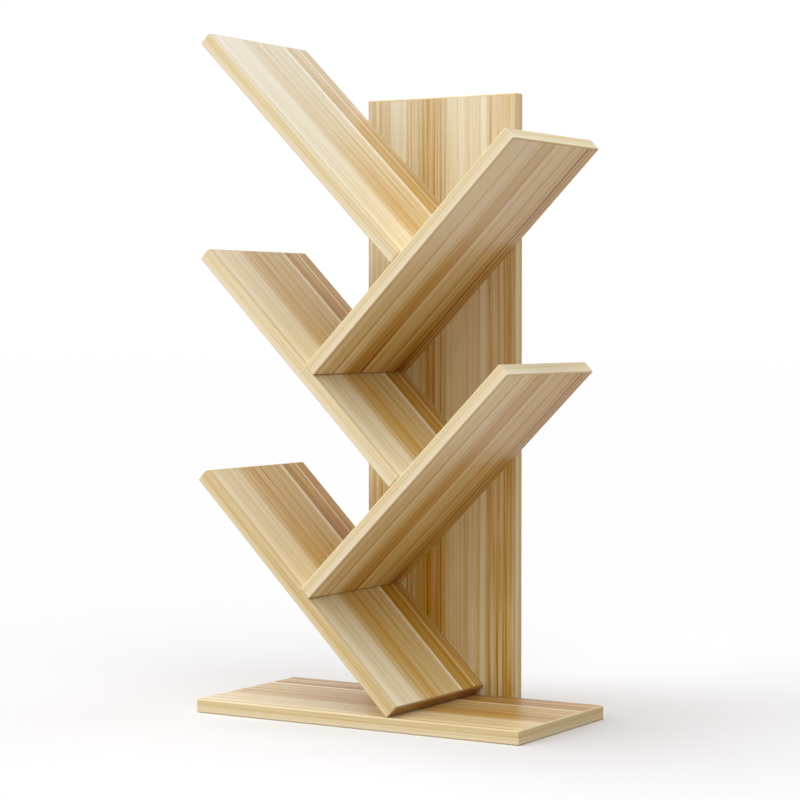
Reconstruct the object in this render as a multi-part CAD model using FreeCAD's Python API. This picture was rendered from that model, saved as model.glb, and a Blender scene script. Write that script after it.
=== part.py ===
import FreeCAD, Part
import os
from math import cos, pi, radians, sin

# A tree bookcase: a level base board, an upright back board behind it, and five slanting
# shelves that lean on each other in turn, three falling to the right and two to the left.
# The front is at -Y, the top at +Z, and the origin lies under the middle of the whole
# bookcase, on the floor.

Vector = FreeCAD.Vector

# The boards, all cut from one faced board. The same strip serves as the depth of the base
# and shelves and as the width of the back board.
board_thickness = 15.0
board_width = 190.0
base_length = 400.0
back_height = 675.0
shelf_length = 340.0

# Fall of the left shelves, in degrees. The right shelves stand square to them.
left_slope = 45.0

# Where the boards meet. The middle of the back board and the lowest corner of the bottom
# left shelf are measured from the middle of the base. Every other shelf butts squarely
# against the one below it, at a distance from the foot of that lower shelf.
back_offset = -3.0
bottom_foot_offset = 43.0
bottom_right_seat = 152.0
middle_left_seat = 157.0
top_right_seat = 148.0
top_left_seat = 150.0

# Edge bands, glued on all four edges of each board and bevelled on the outside.
band_thickness = 2.0
edge_bevel = 0.8

# One-piece connector screws with a sunk head and a hexagon socket, driven through the back
# board into the rear edges of the base and shelves.
screw_length = 40.0
screw_diameter = 7.0
head_diameter = 10.0
head_height = 1.8
head_sink = 0.2
socket_across_flats = 4.0
socket_depth = 2.4
screw_end_margin = 28.0
screw_clearance = 0.1
screw_hole_overrun = 2.0

# Ridged wooden dowels, one in each butt joint between shelves, towards the front, where the
# screws at the back don't reach.
dowel_diameter = 8.0
dowel_length = 30.0
dowel_face_depth = 10.0
dowel_inset = 50.0
dowel_chamfer = 1.0
dowel_clearance = 0.1
dowel_end_gap = 0.5
ridge_count = 8
ridge_height = 0.4

# Length within which two places count as the same.
hair = 0.001

slope = radians(left_slope)
down_right = Vector(cos(slope), 0, -sin(slope))
up_right = Vector(sin(slope), 0, cos(slope))
rearward = Vector(0, 1, 0)
rightward = Vector(1, 0, 0)
upward = Vector(0, 0, 1)

front_y = -(board_width + board_thickness) / 2
back_face_y = front_y + board_width
back_left_x = back_offset - board_width / 2
back_right_x = back_offset + board_width / 2

nodes = {}


class Board:
    """A faced core with an edge band on each side.

    In the board's own frame x runs along it, y across it and z through it, starting at one
    corner. The sides are named in the order y low, y high, x low, x high.
    """

    def __init__(self, name, length, corner, along, across, sides):
        self.name = name
        self.length = length
        turn = FreeCAD.Rotation(along, across, along.cross(across), "XYZ")
        self.placement = FreeCAD.Placement(corner, turn)
        self.core = self.placed(self.make_core())
        self.bands = {}
        for side, band in zip(sides, self.make_bands()):
            self.bands[side] = self.placed(band)

    def placed(self, shape):
        shape.Placement = self.placement
        return shape

    def point(self, along, across, through):
        return self.placement.multVec(Vector(along, across, through))

    def make_core(self):
        corner = Vector(band_thickness, band_thickness, 0)
        length = self.length - 2 * band_thickness
        width = board_width - 2 * band_thickness
        return Part.makeBox(length, width, board_thickness, corner)

    def make_bands(self):
        """The two long bands run over the ends of the two short ones."""
        far_x = self.length - band_thickness
        far_y = board_width - band_thickness
        long_size = (self.length, band_thickness, board_thickness)
        short_size = (band_thickness, board_width - 2 * band_thickness, board_thickness)
        beside = [("Y", band_thickness), ("Y", far_y)]
        return [
            bevelled_strip(long_size, Vector(0, 0, 0), [("Y", band_thickness)]),
            bevelled_strip(long_size, Vector(0, far_y, 0), [("Y", far_y)]),
            bevelled_strip(short_size, Vector(0, band_thickness, 0), [("X", band_thickness)] + beside),
            bevelled_strip(short_size, Vector(far_x, band_thickness, 0), [("X", far_x)] + beside),
        ]

    def drill(self, cutter, side=None):
        self.core = self.core.cut(cutter)
        if side:
            self.bands[side] = self.bands[side].cut(cutter)

    def finish(self):
        nodes[self.name] = self.core
        for side, band in self.bands.items():
            nodes[self.name + "_" + side + "_band"] = band


def bevelled_strip(size, corner, glued):
    """A strip whose edges are bevelled, apart from those that lie in a glued plane."""
    strip = Part.makeBox(*size, corner)

    def is_glued(edge):
        for axis, place in glued:
            if all(abs(getattr(vertex, axis) - place) < hair for vertex in edge.Vertexes):
                return True
        return False

    return strip.makeChamfer(edge_bevel, [edge for edge in strip.Edges if not is_glued(edge)])


def turned(outline):
    """A solid turned about the Z axis from half its outline in the XZ plane."""
    face = Part.Face(Part.makePolygon(outline + outline[:1]))
    return face.revolve(Vector(0, 0, 0), upward, 360)


def aimed(shape, start, direction):
    """A copy of a shape drawn along +Z, moved to a start point and turned to a direction."""
    copy = shape.copy()
    copy.Placement = FreeCAD.Placement(start, FreeCAD.Rotation(upward, direction))
    return copy


def make_screw():
    """A screw with its head's top at the origin and its tip along +Z."""
    head_radius = head_diameter / 2
    shank_radius = screw_diameter / 2
    outline = [
        Vector(0, 0, 0),
        Vector(head_radius, 0, 0),
        Vector(shank_radius, 0, head_height),
        Vector(shank_radius, 0, screw_length),
        Vector(0, 0, screw_length),
    ]
    socket_radius = socket_across_flats / 2 / cos(pi / 6)
    corners = [
        Vector(socket_radius * cos(turn * pi / 3), socket_radius * sin(turn * pi / 3), 0)
        for turn in range(7)
    ]
    socket = Part.Face(Part.makePolygon(corners)).extrude(upward * socket_depth)
    return turned(outline).cut(socket)


def make_screw_hole():
    """The hole for a screw, whose countersink runs on past the face of the back board."""
    head_radius = head_diameter / 2 + screw_clearance
    shank_radius = screw_diameter / 2 + screw_clearance
    rise = head_sink + screw_hole_overrun
    mouth_radius = head_radius + rise * (head_radius - shank_radius) / head_height
    outline = [
        Vector(0, 0, -rise),
        Vector(mouth_radius, 0, -rise),
        Vector(shank_radius, 0, head_height),
        Vector(shank_radius, 0, screw_length + screw_hole_overrun),
        Vector(0, 0, screw_length + screw_hole_overrun),
    ]
    return turned(outline)


def ridged_section(radius, height):
    """Corners of a ridged outline at a height along the dowel, the first one repeated."""
    full_radius = dowel_diameter / 2
    corners = []
    for step in range(2 * ridge_count + 1):
        reach = radius * (1 - ridge_height / full_radius * (step % 2))
        angle = step * pi / ridge_count
        corners.append(Vector(reach * cos(angle), reach * sin(angle), height))
    return corners


def make_dowel():
    """A ridged dowel along +Z, with the level of the joint's face at the origin."""
    radius = dowel_diameter / 2
    end_radius = radius - dowel_chamfer
    low = -dowel_face_depth
    high = low + dowel_length
    sections = [
        ridged_section(end_radius, low),
        ridged_section(radius, low + dowel_chamfer),
        ridged_section(radius, high - dowel_chamfer),
        ridged_section(end_radius, high),
    ]
    faces = [Part.Face(Part.makePolygon(sections[0])), Part.Face(Part.makePolygon(sections[-1]))]
    for lower, upper in zip(sections, sections[1:]):
        for side in range(2 * ridge_count):
            corners = [lower[side], lower[side + 1], upper[side + 1], upper[side], lower[side]]
            faces.append(Part.Face(Part.makePolygon(corners)))
    return Part.Solid(Part.Shell(faces))


def make_dowel_hole():
    radius = dowel_diameter / 2 + dowel_clearance
    depth = dowel_length + 2 * dowel_end_gap
    return Part.makeCylinder(radius, depth, upward * -(dowel_face_depth + dowel_end_gap))


screw = make_screw()
screw_hole = make_screw_hole()
dowel = make_dowel()
dowel_hole = make_dowel_hole()


def screw_to_back(board, spots, group):
    """Screw the back board to the rear edge of a board, at these distances along it."""
    screws = []
    for spot in spots:
        edge_middle = board.point(spot, board_width, board_thickness / 2)
        start = edge_middle + rearward * (board_thickness - head_sink)
        hole = aimed(screw_hole, start, -rearward)
        back.drill(hole)
        board.drill(hole, "rear")
        screws.append(aimed(screw, start, -rearward))
    nodes[group] = Part.makeCompound(screws)


def dowel_foot(board, foot, inward, carrier):
    """Dowel the foot of one shelf to the face of the shelf that carries it."""
    start = board.point(foot, dowel_inset, board_thickness / 2)
    hole = aimed(dowel_hole, start, inward)
    board.drill(hole, "lower")
    carrier.drill(hole)
    nodes[board.name + "_dowel"] = aimed(dowel, start, inward)


def left_shelf(name, foot_corner):
    """A shelf falling to the right, given the lower corner of its foot."""
    corner = foot_corner - down_right * shelf_length
    return Board(name, shelf_length, corner, down_right, rearward, left_sides)


def right_shelf(name, foot_corner):
    """A shelf rising to the right, given the lower corner of its foot."""
    return Board(name, shelf_length, foot_corner, up_right, rearward, right_sides)


def foot_corner_on_left(shelf, seat):
    """Lower corner of the foot of a right shelf that stands on a left shelf."""
    return shelf.point(shelf_length - seat, 0, board_thickness)


def foot_corner_on_right(shelf, seat):
    """Lower corner of the foot of a left shelf that butts against a right shelf."""
    return shelf.point(seat, 0, board_thickness)


left_sides = ("front", "rear", "upper", "lower")
right_sides = ("front", "rear", "lower", "upper")

base = Board("base_board", base_length, Vector(-base_length / 2, front_y, 0),
             rightward, rearward, ("front", "rear", "left", "right"))
back = Board("back_board", back_height, Vector(back_left_x, back_face_y, 0),
             upward, rightward, ("left", "right", "bottom", "top"))

# The bottom left shelf rests on the base on the bevel of its lowest corner.
corner_drop = edge_bevel * min(sin(slope), cos(slope))
bottom_foot = Vector(bottom_foot_offset, front_y, board_thickness - corner_drop)
left_bottom = left_shelf("left_bottom_shelf", bottom_foot)
right_bottom = right_shelf("right_bottom_shelf", foot_corner_on_left(left_bottom, bottom_right_seat))
left_middle = left_shelf("left_middle_shelf", foot_corner_on_right(right_bottom, middle_left_seat))
right_top = right_shelf("right_top_shelf", foot_corner_on_left(left_middle, top_right_seat))
left_top = left_shelf("left_top_shelf", foot_corner_on_right(right_top, top_left_seat))


def left_screw_spots(shelf):
    """One screw near the foot and one just inside the edge of the back board."""
    start = shelf.point(0, 0, board_thickness / 2)
    past_side = (back_left_x - start.x) / cos(slope)
    past_top = (start.z - back_height) / sin(slope)
    return (max(past_side, past_top) + screw_end_margin, shelf_length - screw_end_margin)


def right_screw_spots(shelf):
    """One screw near the foot and one just inside the edge of the back board."""
    start = shelf.point(0, 0, board_thickness / 2)
    to_side = (back_right_x - start.x) / sin(slope)
    return (screw_end_margin, to_side - screw_end_margin)


base_start_x = -base_length / 2
base_spots = (back_left_x + screw_end_margin - base_start_x,
              back_right_x - screw_end_margin - base_start_x)
screw_to_back(base, base_spots, "base_screws")
for shelf in (left_bottom, left_middle, left_top):
    screw_to_back(shelf, left_screw_spots(shelf), shelf.name + "_screws")
for shelf in (right_bottom, right_top):
    screw_to_back(shelf, right_screw_spots(shelf), shelf.name + "_screws")

dowel_foot(right_bottom, 0, up_right, left_bottom)
dowel_foot(left_middle, shelf_length, -down_right, right_bottom)
dowel_foot(right_top, 0, up_right, left_middle)
dowel_foot(left_top, shelf_length, -down_right, right_top)

for board in (base, back, left_bottom, right_bottom, left_middle, right_top, left_top):
    board.finish()

os.makedirs("parts", exist_ok=True)
for name, shape in nodes.items():
    shape.exportStep(os.path.join("parts", name + ".step"))
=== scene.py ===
from math import cos, pi, radians, sin

import bmesh
import bpy
from mathutils import Matrix, Vector


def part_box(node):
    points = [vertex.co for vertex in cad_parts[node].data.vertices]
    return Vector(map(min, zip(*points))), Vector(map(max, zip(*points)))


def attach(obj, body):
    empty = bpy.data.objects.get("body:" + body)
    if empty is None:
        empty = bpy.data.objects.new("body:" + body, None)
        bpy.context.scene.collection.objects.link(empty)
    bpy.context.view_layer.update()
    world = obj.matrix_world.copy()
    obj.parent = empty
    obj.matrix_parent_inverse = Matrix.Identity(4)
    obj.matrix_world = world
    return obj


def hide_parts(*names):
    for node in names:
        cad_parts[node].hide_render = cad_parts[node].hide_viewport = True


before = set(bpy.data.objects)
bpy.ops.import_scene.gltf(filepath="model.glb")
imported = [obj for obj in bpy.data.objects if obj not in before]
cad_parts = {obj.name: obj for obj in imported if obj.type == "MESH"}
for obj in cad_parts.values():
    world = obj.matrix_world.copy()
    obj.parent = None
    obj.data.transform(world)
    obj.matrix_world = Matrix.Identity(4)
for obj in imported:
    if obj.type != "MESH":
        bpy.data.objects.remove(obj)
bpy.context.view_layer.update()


# The base board. A flat length of particle board, 15 mm thick, faced on both sides with a
# striped light wood print. It lies on the floor and carries everything else. A plastic band
# 2 mm thick, with its own streaked print, is glued round its four edges and rounded over.

board_thickness = 0.015
board_width = 0.190
base_length = 0.400
band_thickness = 0.002
band_rounding = 0.0015
band_rounding_steps = 4
seam_bevel = 0.00012
seam_bevel_steps = 1
hair = 0.00001


def pick(piece):
    """Select one object alone."""
    bpy.ops.object.select_all(action="DESELECT")
    piece.select_set(True)
    bpy.context.view_layer.objects.active = piece


def apply_place(piece):
    """Put an object's place, turn and size into its mesh."""
    pick(piece)
    bpy.ops.object.transform_apply(location=True, rotation=True, scale=True)


def sawn_block(name, low, high):
    """A plain block between two corners, before its edges are worked."""
    low, high = Vector(low), Vector(high)
    bpy.ops.object.select_all(action="DESELECT")
    bpy.ops.mesh.primitive_cube_add(size=1, location=(low + high) / 2, scale=high - low)
    block = bpy.context.object
    block.name = block.data.name = name
    apply_place(block)
    return block


def work_edges(piece, radius, steps, wanted):
    """Round or bevel the edges whose two ends are wanted."""
    bpy.ops.object.mode_set(mode="EDIT")
    bpy.ops.mesh.select_mode(type="EDGE")
    bpy.ops.mesh.select_all(action="DESELECT")
    mesh = bmesh.from_edit_mesh(piece.data)
    for edge in mesh.edges:
        edge.select_set(wanted(edge.verts[0].co, edge.verts[1].co))
    bmesh.update_edit_mesh(piece.data)
    bpy.ops.mesh.bevel(offset=radius, segments=steps, affect="EDGES", profile=0.5)
    bpy.ops.object.mode_set(mode="OBJECT")


def panel(name, length):
    """The faced core of a board, lying flat with its middle at the origin."""
    half = Vector((
        length / 2 - band_thickness, board_width / 2 - band_thickness, board_thickness / 2))
    core = sawn_block(name, -half, half)
    work_edges(core, seam_bevel, seam_bevel_steps, lambda one, other: True)
    return core


def edging(name, low, high, glued):
    """A band with its outer edges rounded. Glued gives the axis and place of its inner faces."""
    band = sawn_block(name, low, high)

    def lies_on_glue(one, other):
        return any(
            abs(one[axis] - place) < hair and abs(other[axis] - place) < hair
            for axis, place in glued
        )

    def lies_free(one, other):
        return not lies_on_glue(one, other)

    work_edges(band, band_rounding, band_rounding_steps, lies_free)
    work_edges(band, seam_bevel, seam_bevel_steps, lies_on_glue)
    return band


def banded_board(name, length, sides):
    """A panel and its four bands, lying flat. The long bands cover the short ones' ends."""
    end_x, end_y, top = length / 2, board_width / 2, board_thickness / 2
    inner_x, inner_y = end_x - band_thickness, end_y - band_thickness
    beside = [(1, -inner_y), (1, inner_y)]
    places = (
        ((-end_x, -end_y, -top), (end_x, -inner_y, top), [(1, -inner_y)]),
        ((-end_x, inner_y, -top), (end_x, end_y, top), [(1, inner_y)]),
        ((-end_x, -inner_y, -top), (-inner_x, inner_y, top), [(0, -inner_x)] + beside),
        ((inner_x, -inner_y, -top), (end_x, inner_y, top), [(0, inner_x)] + beside),
    )
    board = {"": panel(name + "_panel", length)}
    for side, (low, high, glued) in zip(sides, places):
        board[side] = edging(name + "_" + side + "_edging", low, high, glued)
    return board


def middle_of(node):
    """The middle of a CAD node."""
    low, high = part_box(node)
    return (low + high) / 2


def put_up(board, place):
    """Turn and move a flat board to its place in the bookcase."""
    for piece in board.values():
        piece.matrix_world = place
        apply_place(piece)


def lathe_solid(name, rings, sides):
    """A round solid along Z, drawn out ring by ring. A ring is a radius and a height."""
    bpy.ops.object.select_all(action="DESELECT")
    radius, height = rings[0]
    bpy.ops.mesh.primitive_circle_add(
        vertices=sides, radius=radius, fill_type="NGON", location=(0, 0, height))
    solid = bpy.context.object
    solid.name = solid.data.name = name
    apply_place(solid)
    bpy.ops.object.mode_set(mode="EDIT")
    bpy.ops.mesh.select_all(action="SELECT")
    for next_radius, next_height in rings[1:]:
        rise, growth = next_height - height, next_radius / radius
        bpy.ops.mesh.extrude_region_move(TRANSFORM_OT_translate={"value": (0, 0, rise)})
        bpy.ops.transform.resize(value=(growth, growth, 1))
        radius, height = next_radius, next_height
    bpy.ops.mesh.select_all(action="SELECT")
    bpy.ops.mesh.normals_make_consistent(inside=False)
    bpy.ops.object.mode_set(mode="OBJECT")
    return solid


def apply_modifier(piece, kind, **settings):
    """Give a piece a modifier and apply it at once."""
    modifier = piece.modifiers.new(kind.lower(), kind)
    for setting, value in settings.items():
        setattr(modifier, setting, value)
    pick(piece)
    bpy.ops.object.modifier_apply(modifier=modifier.name)


def copy_of(piece, name):
    """A copy with its own mesh."""
    pick(piece)
    bpy.ops.object.duplicate(linked=False)
    made = bpy.context.object
    made.name = made.data.name = name
    return made


# Screw holes run from the rear of the back board into the board in front of it.
screw_head_radius = 0.005
screw_shank_radius = 0.0035
screw_head_height = 0.0018
screw_length = 0.040
screw_sides = 48
screw_clearance = 0.0001
hole_mouth = 0.002
head_slope = (screw_head_radius - screw_shank_radius) / screw_head_height
screw_turn = Matrix.Rotation(pi / 2, 4, "X")

screw_cutter = lathe_solid(
    "screw_cutter",
    (
        (screw_head_radius + screw_clearance + hole_mouth * head_slope, -hole_mouth),
        (screw_shank_radius + screw_clearance, screw_head_height),
        (screw_shank_radius + screw_clearance, screw_length + hole_mouth),
    ),
    screw_sides,
)


def screw_places(node, falls):
    """Where the two screws of a board have the middle of their heads' tops."""
    low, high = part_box(node)
    left, right = low.x + screw_head_radius, high.x - screw_head_radius
    bottom, top = low.z + screw_head_radius, high.z - screw_head_radius
    if falls:
        bottom, top = top, bottom
    return [
        Matrix.Translation((left, high.y, bottom)) @ screw_turn,
        Matrix.Translation((right, high.y, top)) @ screw_turn,
    ]


def drill(pieces, cutter, places):
    """Cut the same hole at each place out of several pieces."""
    for place in places:
        bit = copy_of(cutter, "bit")
        bit.matrix_world = place
        apply_place(bit)
        for piece in pieces:
            apply_modifier(piece, "BOOLEAN", operation="DIFFERENCE", solver="EXACT", object=bit)
        bpy.data.objects.remove(bit)


def colour(red, green, blue):
    """A colour as a screen shows it, from 0 to 255, turned into light by the screen's curve."""
    return tuple(((value / 255 + 0.055) / 1.055) ** 2.4 for value in (red, green, blue)) + (1,)


def put(tree, kind, sockets, **settings):
    """Add a node, and fill or join its sockets."""
    made = tree.nodes.new("ShaderNode" + kind)
    for setting, value in settings.items():
        setattr(made, setting, value)
    for socket, value in sockets.items():
        if isinstance(value, bpy.types.NodeSocket):
            tree.links.new(value, made.inputs[socket])
        else:
            made.inputs[socket].default_value = value
    return made


def reckon(tree, operation, *terms):
    """Add one step of arithmetic."""
    return put(tree, "Math", dict(enumerate(terms)), operation=operation).outputs[0]


def ramp(tree, share, stops):
    """A colour ramp with these places and colours, which may be plain grey levels."""
    made = put(tree, "ValToRGB", {"Fac": share})
    elements = made.color_ramp.elements
    elements.remove(elements[1])
    for number, (place, tone) in enumerate(stops):
        element = elements[0] if number == 0 else elements.new(place)
        element.position = place
        element.color = tone if isinstance(tone, tuple) else (tone, tone, tone, 1)
    return made.outputs["Color"]


noise_middle = 0.5


def streaks(tree, place, density, detail, strength):
    """Noise drawn out along the board, about zero. Density is waves to a metre in x, y and z."""
    drawn = put(tree, "VectorMath", {0: place, 1: density}, operation="MULTIPLY").outputs[0]
    noise = put(tree, "TexNoise", {"Vector": drawn, "Scale": 1.0, "Detail": detail})
    centred = reckon(tree, "SUBTRACT", noise.outputs["Fac"], noise_middle)
    return reckon(tree, "MULTIPLY", centred, strength)


def marked(tree, name):
    """A number that each point of the piece carries."""
    return put(tree, "Attribute", {}, attribute_name=name).outputs["Fac"]


def new_material(name, roughness):
    """A material, with its tree, its shader and where each point was on the piece as cut."""
    made = bpy.data.materials.new(name)
    made.use_nodes = True
    tree = made.node_tree
    shader = tree.nodes["Principled BSDF"]
    shader.inputs["Roughness"].default_value = roughness
    place = put(tree, "Attribute", {}, attribute_name="as_cut").outputs["Vector"]
    return made, tree, shader, place


bump_strength = 0.35


def emboss(tree, shader, height, depth):
    """Raise the surface a little by the height, which is in parts of the depth."""
    bump = put(tree, "Bump", {"Height": height, "Strength": bump_strength, "Distance": depth})
    tree.links.new(bump.outputs["Normal"], shader.inputs["Normal"])


# The print's tones, from level 0, the palest, to level 1, the darkest.
wood_tones = (
    (0.00, colour(251, 247, 229)),
    (0.20, colour(240, 231, 203)),
    (0.42, colour(225, 207, 161)),
    (0.62, colour(208, 176, 111)),
    (0.82, colour(183, 139, 68)),
    (1.00, colour(129, 84, 29)),
)
# The layers of noise in the print. Each has its waves to a metre along, across and through the
# board, its detail and its strength.
print_drift = (2.5, 9.0, 60.0), 1.0, 0.030
print_figure = (4.0, 75.0, 60.0), 2.0, 0.6
print_broad = (1.6, 150.0, 60.0), 2.0, 0.20
print_fine = (5.0, 520.0, 60.0), 2.0, 1.0
print_hairs = (35.0, 1900.0, 60.0), 1.0, 0.24
print_fade = (6.0, 40.0, 60.0), 1.0, 2.0
print_pores = (110.0, 2600.0, 60.0), 2.0, 1.0
# How much the level falls in a metre along the board, and the level that stays as it is when a
# board's marked contrast, which is partly painted light, is more or less.
paler_along = -0.25
middle_level = 0.4
# The fine grain and the crisp strips that lie side by side across a board. Bite is how strongly
# both show on the lower and on the upper face, weaker above as painted glare on lit upper faces.
fine_everywhere, fine_in_the_dark = 0.20, 0.80
wide_strips, thin_strips = 26, 71
wide_strip_share = 0.5
crispness = 0.56
bite_below, bite_above = 1.30, 0.95
# A hue of a half is left as it is.
hue_kept, hue_spread = 0.5, 0.016
print_roughness = 0.40
hair_dullness = 0.5
print_relief = 0.00006
# A colour ramp holds at most 32 stops and nothing under zero, so thin lines are shared out among
# ramps, and what may be less than nothing is counted from a half. A line fades out at its reach.
ramp_zero = 0.5
lines_in_a_ramp = 10
line_reach = 1.8
width_mm = board_width * 1000


def stripe_level(tree, across, bands, lines):
    """Darkness of the print, from broad bands and thin lines placed in mm from the front edge."""
    level = ramp(tree, across, [(mm / width_mm, level) for mm, level in bands])
    for first in range(0, len(lines), lines_in_a_ramp):
        stops = []
        for mm, strength in lines[first:first + lines_in_a_ramp]:
            stops.append((mm - line_reach, ramp_zero))
            stops.append((mm, ramp_zero + strength))
            stops.append((mm + line_reach, ramp_zero))
        thin = ramp(tree, across, [(mm / width_mm, level) for mm, level in stops])
        level = reckon(tree, "ADD", level, reckon(tree, "SUBTRACT", thin, ramp_zero))
    return level


def strips(tree, across, count):
    """Narrow crisp strips, side by side. Each has a level and a hue of its own, about zero."""
    cells = put(tree, "TexVoronoi", {"W": across, "Scale": count}, voronoi_dimensions="1D")
    parts = put(tree, "SeparateColor", {"Color": cells.outputs["Color"]}).outputs
    level = reckon(tree, "SUBTRACT", parts["Red"], noise_middle)
    return level, reckon(tree, "SUBTRACT", parts["Green"], noise_middle)


def depth_of_colour(tree, across, depths):
    """How strong the print's colour is, about 1, from places in mm and percent more or less."""
    stops = [(mm / width_mm, ramp_zero + more / 100) for mm, more in depths]
    return reckon(tree, "ADD", ramp(tree, across, stops), 1 - ramp_zero)


def striped_print(name, upper_stripes, lower_stripes, upper_depths, lower_depths):
    """The satin wood print on the faces, in stripes that run the length of the board."""
    made, tree, shader, place = new_material(name, print_roughness)
    axes = put(tree, "SeparateXYZ", {"Vector": place}).outputs

    # From 0 along the front edge to 1 along the rear one, wandering a little.
    across = reckon(tree, "MULTIPLY_ADD", axes["Y"], 1 / board_width, 0.5)
    across = reckon(tree, "ADD", across, streaks(tree, place, *print_drift))
    above = reckon(tree, "GREATER_THAN", axes["Z"], 0.0)

    # The stripes of the upper or the lower face, with the board's marked contrast, partly painted
    # light.
    upper = stripe_level(tree, across, *upper_stripes)
    lower = stripe_level(tree, across, *lower_stripes)
    level = put(tree, "Mix", {"Factor": above, "A": lower, "B": upper}).outputs["Result"]
    level = reckon(tree, "MULTIPLY_ADD", axes["X"], paler_along, level)
    level = reckon(tree, "SUBTRACT", level, middle_level)
    level = reckon(tree, "MULTIPLY_ADD", level, marked(tree, "contrast_and_painted_light"), middle_level)

    # Grain in several sizes, stronger in the dark stripes.
    figure = reckon(tree, "MULTIPLY", streaks(tree, place, *print_figure), level)
    broad = streaks(tree, place, *print_broad)
    bite = reckon(tree, "MULTIPLY_ADD", above, bite_above - bite_below, bite_below)
    fine = reckon(tree, "MULTIPLY_ADD", level, fine_in_the_dark, fine_everywhere)
    fine = reckon(tree, "MULTIPLY", streaks(tree, place, *print_fine), fine)
    fine = reckon(tree, "MULTIPLY", fine, bite)
    hairs = streaks(tree, place, *print_hairs)
    wide_level, wide_hue = strips(tree, across, wide_strips)
    thin_level, thin_hue = strips(tree, across, thin_strips)
    fade = reckon(tree, "ADD", streaks(tree, place, *print_fade), 1.0)
    crisp = reckon(tree, "MULTIPLY_ADD", wide_level, wide_strip_share, thin_level)
    crisp = reckon(tree, "MULTIPLY", crisp, fade)
    crisp = reckon(tree, "MULTIPLY", crisp, reckon(tree, "MULTIPLY", level, crispness))
    crisp = reckon(tree, "MULTIPLY", crisp, bite)
    # The marked tone is partly painted light and shade: faces in shade browner, the lit top shelf
    # paler.
    for layer in (figure, broad, fine, hairs, crisp, marked(tree, "tone_and_painted_light")):
        level = reckon(tree, "ADD", level, layer)

    # From level to colour, with small turns of hue and the depth of colour of each stripe.
    tone = ramp(tree, level, wood_tones)
    hue = reckon(tree, "ADD", wide_hue, thin_hue)
    hue = reckon(tree, "MULTIPLY_ADD", hue, hue_spread, hue_kept)
    upper = depth_of_colour(tree, across, upper_depths)
    lower = depth_of_colour(tree, across, lower_depths)
    depth = put(tree, "Mix", {"Factor": above, "A": lower, "B": upper}).outputs["Result"]
    # The marked depth is partly painted shade: faces in shade richer, the lit top shelf greyer.
    depth = reckon(tree, "ADD", depth, marked(tree, "depth_and_painted_light"))
    tone = put(tree, "HueSaturation", {"Color": tone, "Hue": hue, "Saturation": depth})
    tree.links.new(tone.outputs["Color"], shader.inputs["Base Color"])
    sheen = reckon(tree, "MULTIPLY_ADD", hairs, hair_dullness, print_roughness)
    tree.links.new(sheen, shader.inputs["Roughness"])
    pores = streaks(tree, place, *print_pores)
    emboss(tree, shader, reckon(tree, "SUBTRACT", pores, fine), print_relief)
    return made


# Broad bands, then thin lines, each with its place in mm from the front edge and how dark it is.
# Below, the depth of colour: places in mm, and percent more or less.
face_stripes = (
    (
        (0, 0.22), (5, 0.36), (9, 0.19), (16, 0.09), (25, 0.21), (30, 0.31), (35, 0.27),
        (43, 0.15), (51, 0.14), (54.6, 0.10), (56.6, 0.34), (63, 0.39), (72, 0.54), (79, 0.49),
        (90, 0.57), (95, 0.44), (105.5, 0.48), (134, 0.43), (138.6, 0.32), (140, 0.05),
        (143.7, 0.04), (145.4, 0.62), (147.6, 0.94), (149, 1.00), (152, 1.00), (154.5, 0.62),
        (156.5, 0.52), (162, 0.87), (167, 0.63), (173, 0.48), (177, 0.75), (184, 0.62),
    ),
    (
        (36, 0.03), (38.7, 0.06), (44, -0.09), (49, 0.05), (62, 0.04), (64.8, -0.05), (71, 0.08),
        (77.5, 0.04), (82.5, -0.11), (85.5, 0.09), (90, 0.07), (97.5, -0.10), (115.7, -0.17),
        (122, 0.12), (127, -0.11), (131.5, 0.04), (163, 0.05), (173.5, -0.06), (188, 0.12),
    ),
)
reverse_stripes = (
    (
        (0, 0.48), (7, 0.00), (20, 0.20), (28, 0.13), (34, 0.36), (37, 0.33), (41, 0.00),
        (45, 0.00), (48, 0.18), (52, 0.05), (58, 0.36), (64, 0.34), (71, 0.54), (76, 0.62),
        (82, 0.50), (86, 0.50), (88.3, 0.82), (92.8, 0.84), (96.5, 0.22), (100, 0.15),
        (108, 0.60), (114, 0.26), (128, 0.38), (134, 0.64), (139.5, 0.38), (145.5, 0.43),
        (152, 0.68), (157, 0.55), (164, 0.84), (172, 1.00), (176, 0.72), (181, 0.62),
    ),
    (
        (9, -0.04), (31, 0.05), (35, 0.06), (43.5, -0.14), (67, 0.08), (72.5, 0.12), (78, -0.08),
        (83, 0.05), (91, 0.10), (98.5, -0.10), (103.5, 0.06), (106.5, 0.04), (120.5, 0.04),
        (128.5, -0.07), (142, -0.04), (150.3, 0.07), (157, -0.05), (172, 0.10), (187, 0.06),
    ),
)
face_depths = (
    (0, -2), (25, -3), (48, 0), (57, -1), (69, 2), (74, 3), (80, 0), (88, 4), (100, 0), (110, 0),
    (113, -7), (117, -7), (120, 1), (128, -2), (134, 2), (141, 7), (145, 2), (149, 6), (155, 1),
    (161, 6), (168, 7), (173, 0), (178, -3), (190, 0),
)
reverse_depths = (
    (0, -3), (12, 0), (34, -2), (50, 3), (58, 1), (66, 3), (80, 0), (85, -5), (90, 1), (98, 3),
    (109, 3), (116, -1), (124, -5), (129, -8), (133, -3), (137, 2), (141, 0), (145, -10),
    (149, -6), (156, -1), (161, 4), (169, 4), (173, 10), (177, -1), (190, 5),
)
print_facing = striped_print(
    "striped_wood_print", face_stripes, reverse_stripes, face_depths, reverse_depths)

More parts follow.
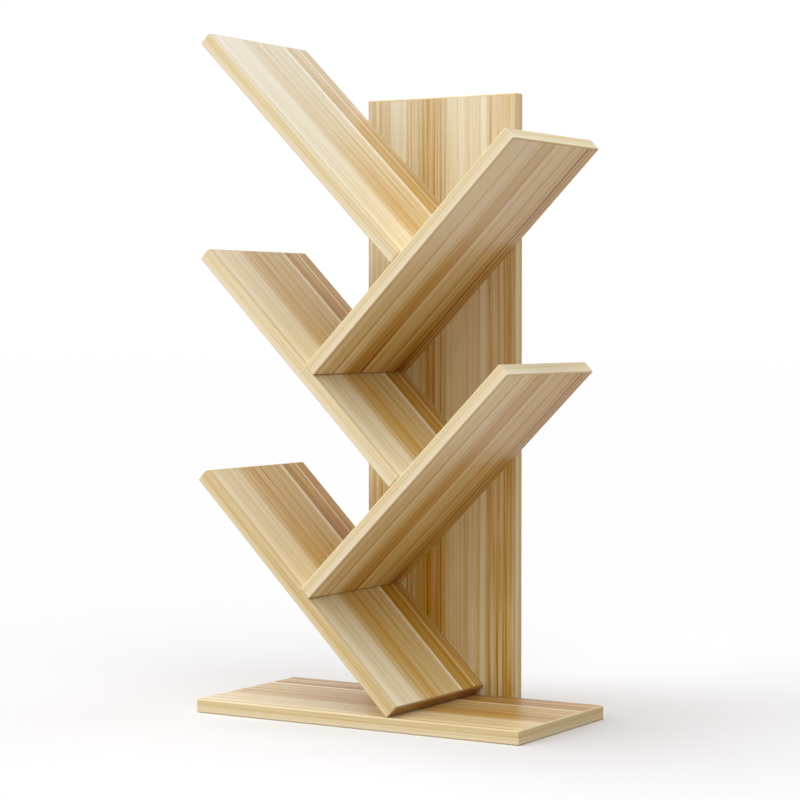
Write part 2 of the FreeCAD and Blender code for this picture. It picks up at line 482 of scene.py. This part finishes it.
# The print of the bands. Its stripes lie across the thickness of the board, from 0 along the
# lower edge to 1 along the upper one.
band_tones = (
    (0.00, colour(250, 242, 222)),
    (0.30, colour(238, 226, 187)),
    (0.55, colour(222, 203, 151)),
    (0.80, colour(197, 165, 106)),
    (1.00, colour(165, 124, 64)),
)
# The paler strip along the upper edge, from 0.92 to 1, is a painted highlight of the rounded
# edge.
band_stripes_and_highlight = (
    (0.00, 0.30), (0.06, 0.14), (0.14, 0.00), (0.22, 0.02), (0.29, 0.16), (0.36, 0.18),
    (0.43, 0.14), (0.50, 0.22), (0.57, 0.32), (0.63, 0.38), (0.70, 0.33), (0.77, 0.27),
    (0.84, 0.32), (0.92, 0.24), (1.00, 0.20),
)
band_drift = (5.0, 40.0, 8.0), 1.0, 0.10
band_broad = (3.0, 500.0, 8.0), 2.0, 0.45
band_fine = (12.0, 1500.0, 8.0), 2.0, 0.40
band_roughness = 0.38
band_dullness = 0.4
band_relief = 0.00005
# How much darker the bands under the feet are, as painted shade.
foot_painted_shade = 0.6


def streaked_edging(name, darkness):
    """The print on the bands, cream along the lower edge and ochre higher up, with a painted
    highlight along the upper edge.
    """
    made, tree, shader, place = new_material(name, band_roughness)
    axes = put(tree, "SeparateXYZ", {"Vector": place}).outputs
    along = reckon(tree, "ADD", axes["X"], axes["Y"])
    lying = put(tree, "CombineXYZ", {"X": along, "Y": axes["Z"], "Z": axes["Y"]}).outputs[0]
    share = reckon(tree, "MULTIPLY_ADD", axes["Z"], 1 / board_thickness, 0.5)
    share = reckon(tree, "ADD", share, streaks(tree, lying, *band_drift))
    level = ramp(tree, share, band_stripes_and_highlight)
    broad = streaks(tree, lying, *band_broad)
    fine = streaks(tree, lying, *band_fine)
    for layer in (broad, fine, marked(tree, "tone_and_painted_light"), darkness):
        level = reckon(tree, "ADD", level, layer)
    tree.links.new(ramp(tree, level, band_tones), shader.inputs["Base Color"])
    sheen = reckon(tree, "MULTIPLY_ADD", fine, band_dullness, band_roughness)
    tree.links.new(sheen, shader.inputs["Roughness"])
    emboss(tree, shader, fine, band_relief)
    return made


# The bands under the feet of the shelves are darkened as painted shade, for the shadow in the
# joints.
edge_finish = streaked_edging("streaked_edge_band", 0.0)
shaded_foot_finish = streaked_edging("painted_shade_edge_band", foot_painted_shade)

smooth_below = radians(32)


def finish_piece(piece, material, slot, place, *nodes):
    """Smooth the rounded edges, note where each point was cut, give it its material, hang it
    under the root and hide its CAD parts.
    """
    pick(piece)
    bpy.ops.object.shade_smooth_by_angle(angle=smooth_below)
    apply_modifier(piece, "WEIGHTED_NORMAL", keep_sharp=True)
    as_cut = piece.data.attributes.new("as_cut", "FLOAT_VECTOR", "POINT")
    back = place.inverted()
    for point, mark in zip(piece.data.vertices, as_cut.data):
        mark.vector = back @ point.co
    piece.data.materials.clear()
    piece.data.materials.append(material)
    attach(piece, "root")
    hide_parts(*nodes)


# Boards come from sheets that differ a little, and each face also carries painted light and
# shade:
# faces in shade are browner, richer and more strongly striped, the lit top shelf paler, greyer
# and fainter, and the drifts along a board stand in for light falling off along it. Each row has
# how brown a face is, how that drifts along a metre, how strong its colour is, how that drifts,
# and how strong its stripes are. The upper face comes first.
sheets_and_painted_light = {
    "base_board": ((0.23, 0.15, -0.07, 0.70, 0.86), (0.12, 0.00, 0.10, 0.00, 1.00)),
    "left_bottom_shelf": ((0.035, -0.08, 0.11, 0.40, 1.05), (0.07, 0.00, 0.06, 0.00, 1.00)),
    "right_bottom_shelf": ((0.20, 0.00, 0.12, 0.00, 1.00), (0.07, -0.25, 0.085, 0.25, 1.02)),
    "left_middle_shelf": ((0.00, 0.25, 0.08, 0.60, 1.05), (0.02, 0.00, 0.02, 0.00, 1.00)),
    "right_top_shelf": ((0.17, 0.25, 0.10, 0.00, 1.00), (-0.02, -0.85, 0.06, -0.25, 1.22)),
    "left_top_shelf": ((-0.01, 0.95, -0.12, 0.70, 0.84), (0.02, 0.00, 0.00, 0.00, 1.00)),
    "back_board": ((0.05, 0.00, 0.05, 0.00, 1.00), (-0.035, 0.05, 0.06, -0.55, 1.08)),
}
# How brown a board's bands are and how that drifts along a metre, partly painted shade on the
# bands of boards that lie in shade. Then the few bands that differ from the others of their
# board:
# ends facing right, darkened with painted shade.
strip_tones_and_shade = {
    "base_board": (0.17, 0.25),
    "left_bottom_shelf": (0.29, 0.25),
    "right_bottom_shelf": (0.04, 0.00),
    "left_middle_shelf": (0.04, 0.00),
    "right_top_shelf": (0.04, 0.00),
    "left_top_shelf": (0.08, 0.00),
    "back_board": (0.10, 0.00),
}
odd_bands_in_painted_shade = {
    ("base_board", "right"): (0.22, 0.00),
    ("right_bottom_shelf", "upper"): (0.09, 0.00),
    ("right_top_shelf", "upper"): (0.17, 0.00),
    ("back_board", "right"): (0.26, -0.30),
}


def mark_points(piece, name, values):
    """Give each point of a piece a number for its material to read."""
    marks = piece.data.attributes.new(name, "FLOAT", "POINT").data
    for mark, value in zip(marks, values):
        mark.value = value


def finish_board(board, node, facing, place):
    """Mark the panel and the bands of a board with their tones, and finish them."""
    back = place.inverted()
    for side, piece in board.items():
        spots = [back @ point.co for point in piece.data.vertices]
        if side:
            tone, drift = odd_bands_in_painted_shade.get((node, side), strip_tones_and_shade[node])
            mark_points(piece, "tone_and_painted_light", [tone + drift * spot.x for spot in spots])
            # The bands under the feet take the finish darkened with painted shade.
            finish = shaded_foot_finish if side == "lower" else edge_finish
            finish_piece(piece, finish, "edge_band", place, node + "_" + side + "_band")
        else:
            tones, depths, contrasts = [], [], []
            for spot in spots:
                upper, lower = sheets_and_painted_light[node]
                tone, drift, depth, depth_drift, contrast = upper if spot.z > 0 else lower
                tones.append(tone + drift * spot.x)
                depths.append(depth + depth_drift * spot.x)
                contrasts.append(contrast)
            # Tone, depth and contrast are partly painted light and shade.
            mark_points(piece, "tone_and_painted_light", tones)
            mark_points(piece, "depth_and_painted_light", depths)
            mark_points(piece, "contrast_and_painted_light", contrasts)
            finish_piece(piece, facing, "wood_print_board", place, node)


base = banded_board("base", base_length, ("front", "rear", "left", "right"))
base_place = Matrix.Translation(middle_of("base_board"))
put_up(base, base_place)
base_screws = screw_places("base_screws", False)
drill((base[""], base["rear"]), screw_cutter, base_screws)
finish_board(base, "base_board", print_facing, base_place)


# The slanting shelves. Five like boards of the same faced stock, cut and banded as the base
# is. Three fall to the right and two rise to the right, each butting against the one below.
# Each is screwed from behind, and doweled to its neighbour at the butt joint.

shelf_length = 0.340
left_fall = radians(45)
right_fall = left_fall - pi / 2
dowel_lean = pi / 4
dowel_radius = 0.004
dowel_length = 0.030
dowel_clearance = 0.0001
dowel_end_gap = 0.0005
dowel_hole_sides = 40

dowel_reach = dowel_length / 2 + dowel_end_gap
dowel_hole = dowel_radius + dowel_clearance
dowel_cutter = lathe_solid(
    "dowel_cutter", ((dowel_hole, -dowel_reach), (dowel_hole, dowel_reach)), dowel_hole_sides)

first_shelf = banded_board("shelf", shelf_length, ("front", "rear", "start", "end"))
shelves = {}
shelf_places = {}
screws = {"base": base_screws}
for name, fall, start, end in (
    ("left_bottom_shelf", left_fall, "upper", "lower"),
    ("right_bottom_shelf", right_fall, "lower", "upper"),
    ("left_middle_shelf", left_fall, "upper", "lower"),
    ("right_top_shelf", right_fall, "lower", "upper"),
    ("left_top_shelf", left_fall, "upper", "lower"),
):
    place = Matrix.Translation(middle_of(name)) @ Matrix.Rotation(fall, 4, "Y")
    renamed = {"": "", "front": "front", "rear": "rear", "start": start, "end": end}
    shelf = {}
    for side, piece in first_shelf.items():
        ending = "_" + renamed[side] + "_edging" if side else "_panel"
        shelf[renamed[side]] = copy_of(piece, name + ending)
    put_up(shelf, place)
    screws[name] = screw_places(name + "_screws", fall > 0)
    drill((shelf[""], shelf["rear"]), screw_cutter, screws[name])
    shelves[name] = shelf
    shelf_places[name] = place
for piece in first_shelf.values():
    bpy.data.objects.remove(piece)

# Each dowel stands in the foot of one shelf and in the face of the shelf that carries it.
dowel_places = {}
for name, carrier, lean in (
    ("right_bottom_shelf", "left_bottom_shelf", dowel_lean),
    ("left_middle_shelf", "right_bottom_shelf", -dowel_lean),
    ("right_top_shelf", "left_middle_shelf", dowel_lean),
    ("left_top_shelf", "right_top_shelf", -dowel_lean),
):
    place = Matrix.Translation(middle_of(name + "_dowel")) @ Matrix.Rotation(lean, 4, "Y")
    joined = (shelves[name][""], shelves[name]["lower"], shelves[carrier][""])
    drill(joined, dowel_cutter, [place])
    dowel_places[name] = place

for name, shelf in shelves.items():
    finish_board(shelf, name, print_facing, shelf_places[name])


# The back board. It stands on the floor behind the base and carries the rear edges of the
# shelves. It is of the same stock, but its print is cut from another part of the sheet.
# Twelve countersunk holes take the screws.

back_height = 0.675
upright_gloss = 0.22
upright_stripes = (
    (
        (0, 0.20), (9, 0.42), (17, 0.40), (21, 0.28), (28, 0.38), (34, 0.26), (37, 0.06),
        (40, 0.14), (50, 0.18), (53, 0.42), (57, 0.46), (61, 0.32), (66, 0.44), (77, 0.68),
        (83, 0.54), (88, 0.68), (92, 0.57), (95, 0.60), (98, 0.38), (108, 0.37), (114, 0.19),
        (128, 0.30), (138, 0.25), (142.5, 0.27), (144.5, 0.38), (147.0, 0.03), (151.2, 0.02),
        (153, 0.38), (159, 0.61), (162, 0.44), (177, 0.60), (190, 0.32),
    ),
    (
        (18, -0.08), (38.5, -0.08), (44, 0.08), (48, -0.08), (56.5, 0.04), (62, 0.06),
        (69, -0.10), (73, 0.06), (80, -0.04), (86, 0.06), (91, 0.04), (94.8, -0.09), (99, -0.06),
        (102.8, 0.09), (106.5, 0.06), (122, -0.09), (130, 0.04), (134, -0.09), (140.5, 0.04),
        (149.4, -0.56), (153.3, 0.02), (156.9, -0.10), (163.5, -0.07), (167, -0.14), (171, 0.08),
        (174.8, -0.21), (178.4, 0.18), (182, 0.06),
    ),
)
upright_depths = (
    (0, 0), (48, 2), (62, 4), (74, 6), (82, 8), (88, 5), (92, -2), (98, 4), (108, 4), (116, 1),
    (122, -1), (134, 2), (141, -1), (149, -7), (158, 0), (161, 8), (170, 9), (178, 8), (181, 14),
    (190, 6),
)
upright_facing = striped_print(
    "striped_wood_print_upright", face_stripes, upright_stripes, face_depths, upright_depths)
upright_shader = upright_facing.node_tree.nodes["Principled BSDF"]
upright_shader.inputs["Specular IOR Level"].default_value = upright_gloss

back = banded_board("back", back_height, ("left", "right", "bottom", "top"))
back_place = (
    Matrix.Translation(middle_of("back_board"))
    @ Matrix.Rotation(-pi / 2, 4, "Z")
    @ Matrix.Rotation(-pi / 2, 4, "Y")
)
put_up(back, back_place)
for places in screws.values():
    drill((back[""],), screw_cutter, places)
finish_board(back, "back_board", upright_facing, back_place)

bpy.data.objects.remove(screw_cutter)
bpy.data.objects.remove(dowel_cutter)


# The dowels. Fluted beech pegs with rounded ends, one in each of the four butt joints. They are
# glued 20 mm deep into the foot of a shelf and 10 mm deep into the face of the one below.

dowel_chamfer = 0.001
dowel_shoulder = dowel_chamfer * 0.3
peg_sides = 64
sides_to_a_flute = 4
flute_share = 0.92

peg = lathe_solid(
    "peg",
    (
        (dowel_radius - dowel_chamfer, -dowel_length / 2),
        (dowel_radius - dowel_shoulder, -dowel_length / 2 + dowel_shoulder),
        (dowel_radius, -dowel_length / 2 + dowel_chamfer),
        (dowel_radius, dowel_length / 2 - dowel_chamfer),
        (dowel_radius - dowel_shoulder, dowel_length / 2 - dowel_shoulder),
        (dowel_radius - dowel_chamfer, dowel_length / 2),
    ),
    peg_sides,
)
pick(peg)
bpy.ops.object.mode_set(mode="EDIT")
bpy.ops.mesh.select_mode(type="VERT")
bpy.ops.mesh.select_all(action="DESELECT")
mesh = bmesh.from_edit_mesh(peg.data)
for corner in mesh.verts:
    angle = Vector((corner.co.x, corner.co.y)).angle_signed(Vector((1, 0)))
    turn = round(angle / (2 * pi) * peg_sides)
    corner.select_set(turn % sides_to_a_flute == 0)
bmesh.update_edit_mesh(peg.data)
bpy.ops.transform.resize(value=(flute_share, flute_share, 1))
bpy.ops.object.mode_set(mode="OBJECT")

beech_tones = (
    (0.0, colour(222, 188, 146)),
    (0.5, colour(206, 167, 122)),
    (1.0, colour(172, 128, 84)),
)
beech_grain = (900.0, 900.0, 28.0), 3.0, 0.9
beech_flecks = (2600.0, 2600.0, 420.0), 1.0, 0.5
beech_roughness = 0.62
beech_relief = 0.00008

beech, tree, shader, place = new_material("beech", beech_roughness)
grain = streaks(tree, place, *beech_grain)
flecks = streaks(tree, place, *beech_flecks)
level = reckon(tree, "ADD", reckon(tree, "ADD", grain, flecks), noise_middle)
tree.links.new(ramp(tree, level, beech_tones), shader.inputs["Base Color"])
emboss(tree, shader, grain, beech_relief)

for name, place in dowel_places.items():
    dowel = copy_of(peg, name + "_peg")
    dowel.matrix_world = place
    apply_place(dowel)
    finish_piece(dowel, beech, "dowel_wood", place, name + "_dowel")
bpy.data.objects.remove(peg)


# The connector screws. One-piece steel screws, zinc plated, with a flat countersunk head, a
# hexagon socket, a plain shoulder and a coarse thread. Two hold each board, driven from the
# rear of the back board, with their heads just under its face.

head_rim = 0.0003
head_rim_rounding = 0.0002
shoulder_length = 0.013
shoulder_taper = 0.001
core_radius = 0.0025
tip_length = 0.002
tip_radius = core_radius * 0.7

screw = lathe_solid(
    "screw",
    (
        (screw_head_radius - head_rim, 0),
        (screw_head_radius, head_rim_rounding),
        (screw_head_radius, head_rim),
        (screw_shank_radius, screw_head_height),
        (screw_shank_radius, shoulder_length),
        (core_radius, shoulder_length + shoulder_taper),
        (core_radius, screw_length - tip_length),
        (tip_radius, screw_length),
    ),
    screw_sides,
)

# One tooth of the thread, drawn round and along the core. Its foot lies inside the core.
thread_pitch = 0.003
thread_turns = 7
thread_steps = 32
tooth_start = 0.0025
tooth_half_width = thread_pitch * 0.27
tooth_foot = core_radius - 0.0003

bpy.ops.object.select_all(action="DESELECT")
bpy.ops.mesh.primitive_circle_add(
    vertices=3, radius=tooth_half_width, fill_type="NOTHING", rotation=(pi / 2, 0, 0))
thread = bpy.context.object
thread.name = thread.data.name = "thread"
apply_place(thread)
bpy.ops.object.mode_set(mode="EDIT")
bpy.ops.mesh.select_mode(type="VERT")
bpy.ops.mesh.select_all(action="SELECT")
mesh = bmesh.from_edit_mesh(thread.data)
tooth = (
    (screw_shank_radius, 0, 0),
    (tooth_foot, 0, tooth_half_width),
    (tooth_foot, 0, -tooth_half_width),
)
for corner, spot in zip(mesh.verts, tooth):
    corner.co = Vector(spot) + Vector((0, 0, shoulder_length + tooth_start))
bmesh.update_edit_mesh(thread.data)
bpy.ops.object.mode_set(mode="OBJECT")
apply_modifier(
    thread, "SCREW", axis="Z", angle=2 * pi, screw_offset=thread_pitch, iterations=thread_turns,
    steps=thread_steps, render_steps=thread_steps, use_merge_vertices=False,
)
bpy.ops.object.mode_set(mode="EDIT")
bpy.ops.mesh.select_all(action="SELECT")
bpy.ops.mesh.remove_doubles(threshold=hair)
bpy.ops.mesh.fill_holes(sides=3)
bpy.ops.mesh.normals_make_consistent(inside=False)
bpy.ops.object.mode_set(mode="OBJECT")
apply_modifier(screw, "BOOLEAN", operation="UNION", solver="EXACT", object=thread)
bpy.data.objects.remove(thread)

# The hexagon socket, with a bevel at its mouth and a drilled point at its end.
socket_across_flats = 0.004
socket_depth = 0.0024
socket_mouth = 0.0003
socket_point = 0.0006

socket_radius = socket_across_flats / 2 / cos(pi / 6)
socket_end_radius = socket_radius * 0.1
socket = lathe_solid(
    "socket",
    (
        (socket_radius + 2 * socket_mouth, -socket_mouth),
        (socket_radius, socket_mouth),
        (socket_radius, socket_depth),
        (socket_end_radius, socket_depth + socket_point),
    ),
    6,
)
apply_modifier(screw, "BOOLEAN", operation="DIFFERENCE", solver="EXACT", object=socket)
bpy.data.objects.remove(socket)

# Zinc, cloudy in patches and turned in fine rings round the screw.
zinc_tones = (
    (0.0, colour(150, 148, 142)),
    (0.5, colour(196, 194, 188)),
    (1.0, colour(218, 217, 212)),
)
zinc_patches = (420.0, 420.0, 420.0), 3.0, 1.0
zinc_rings = (9000.0, 2500.0, 0.0), 2.0, 1.0
ring_share = 0.4
zinc_roughness = 0.32
zinc_dullness = 0.3
zinc_relief = 0.00003

zinc, tree, shader, place = new_material("zinc_plated_steel", zinc_roughness)
shader.inputs["Metallic"].default_value = 1.0
patches = streaks(tree, place, *zinc_patches)
axes = put(tree, "SeparateXYZ", {"Vector": place}).outputs
flat = put(tree, "CombineXYZ", {"X": axes["X"], "Y": axes["Y"]}).outputs[0]
reach = put(tree, "VectorMath", {0: flat}, operation="LENGTH").outputs["Value"]
turned = put(tree, "CombineXYZ", {"X": reach, "Y": axes["Z"]}).outputs[0]
rings = streaks(tree, turned, *zinc_rings)
level = reckon(tree, "MULTIPLY_ADD", rings, ring_share, patches)
level = reckon(tree, "ADD", level, noise_middle)
tree.links.new(ramp(tree, level, zinc_tones), shader.inputs["Base Color"])
sheen = reckon(tree, "MULTIPLY_ADD", patches, zinc_dullness, zinc_roughness)
tree.links.new(sheen, shader.inputs["Roughness"])
emboss(tree, shader, rings, zinc_relief)

for name, places in screws.items():
    for number, place in enumerate(places, 1):
        driven = copy_of(screw, name + "_screw_" + str(number))
        driven.matrix_world = place
        apply_place(driven)
        finish_piece(driven, zinc, "screw_steel", place, name + "_screws")
bpy.data.objects.remove(screw)


# The floor, a plain pale sheet, under soft daylight lamps. Most of the light comes from above
# on the left, with less from the front and the right. The floor throws warm light back up. All
# round it is white, for the camera and in the gloss of the boards.

floor_size = 40
floor_roughness = 0.9
floor_bounce = (0.45, 0.34, 0.22, 1)
floor_seen = (0.815, 0.83, 0.86, 1)
world_bounce = (0.07, 0.04, 0.01, 1)
world_seen = (1, 1, 1, 1)
lamp_spread = radians(50)
lamp_distance = 3


def seen_or_bounced(tree, seen, bounced, *rays):
    """One colour where any of these rays looks straight at it, another for light thrown back."""
    outputs = put(tree, "LightPath", {}).outputs
    looked_at = outputs["Is Camera Ray"]
    for ray in rays:
        looked_at = reckon(tree, "MAXIMUM", looked_at, outputs[ray])
    mix = put(tree, "Mix", {"Factor": looked_at}, data_type="RGBA")
    mix.inputs["A"].default_value = bounced
    mix.inputs["B"].default_value = seen
    return mix.outputs["Result"]


bpy.ops.object.select_all(action="DESELECT")
bpy.ops.mesh.primitive_plane_add(size=floor_size, location=(0, 0, 0))
floor = bpy.context.object
floor.name = "floor"
paper = bpy.data.materials.new("pale_floor")
paper.use_nodes = True
tree = paper.node_tree
shader = tree.nodes["Principled BSDF"]
shader.inputs["Roughness"].default_value = floor_roughness
shader.inputs["Specular IOR Level"].default_value = 0.0
shade = seen_or_bounced(tree, floor_seen, floor_bounce, "Is Glossy Ray")
tree.links.new(shade, shader.inputs["Base Color"])
floor.data.materials.append(paper)

world = bpy.data.worlds.new("white_studio")
bpy.context.scene.world = world
world.use_nodes = True
tree = world.node_tree
glow = seen_or_bounced(tree, world_seen, world_bounce, "Is Glossy Ray", "Is Transmission Ray")
tree.links.new(glow, tree.nodes["Background"].inputs["Color"])


def soft_lamp(name, side, height, power):
    """A wide soft lamp. Side turns from the front to the left, height from the floor up."""
    lamp = bpy.data.lights.new(name, "SUN")
    lamp.angle = lamp_spread
    lamp.energy = power * pi
    stand = bpy.data.objects.new(name, lamp)
    bpy.context.scene.collection.objects.link(stand)
    side, height = radians(side), radians(height)
    spot = Vector((-sin(side) * cos(height), -cos(side) * cos(height), sin(height)))
    stand.location = spot * lamp_distance
    stand.rotation_euler = spot.to_track_quat("Z", "Y").to_euler()


soft_lamp("left_lamp", side=90, height=70, power=0.60)
soft_lamp("front_left_lamp", side=45, height=20, power=0.50)
soft_lamp("front_right_lamp", side=-45, height=50, power=0.37)
soft_lamp("right_lamp", side=-125, height=52, power=0.17)


# The camera, low and to the right, looking slightly down.

photo_pixels = 800
focal_pixels = 2392.24
sensor_width = 36
camera_spot = (1.34042, -2.20619, 0.42631)
camera_drop = radians(1.88)
camera_turn = radians(31.33)

camera = bpy.data.cameras.new("camera")
camera.sensor_width = sensor_width
camera.lens = focal_pixels / photo_pixels * sensor_width
camera_stand = bpy.data.objects.new("camera", camera)
bpy.context.scene.collection.objects.link(camera_stand)
camera_stand.location = camera_spot
camera_stand.rotation_euler = (pi / 2 - camera_drop, 0, camera_turn)
bpy.context.scene.camera = camera_stand

bpy.context.scene.view_settings.view_transform = "Standard"
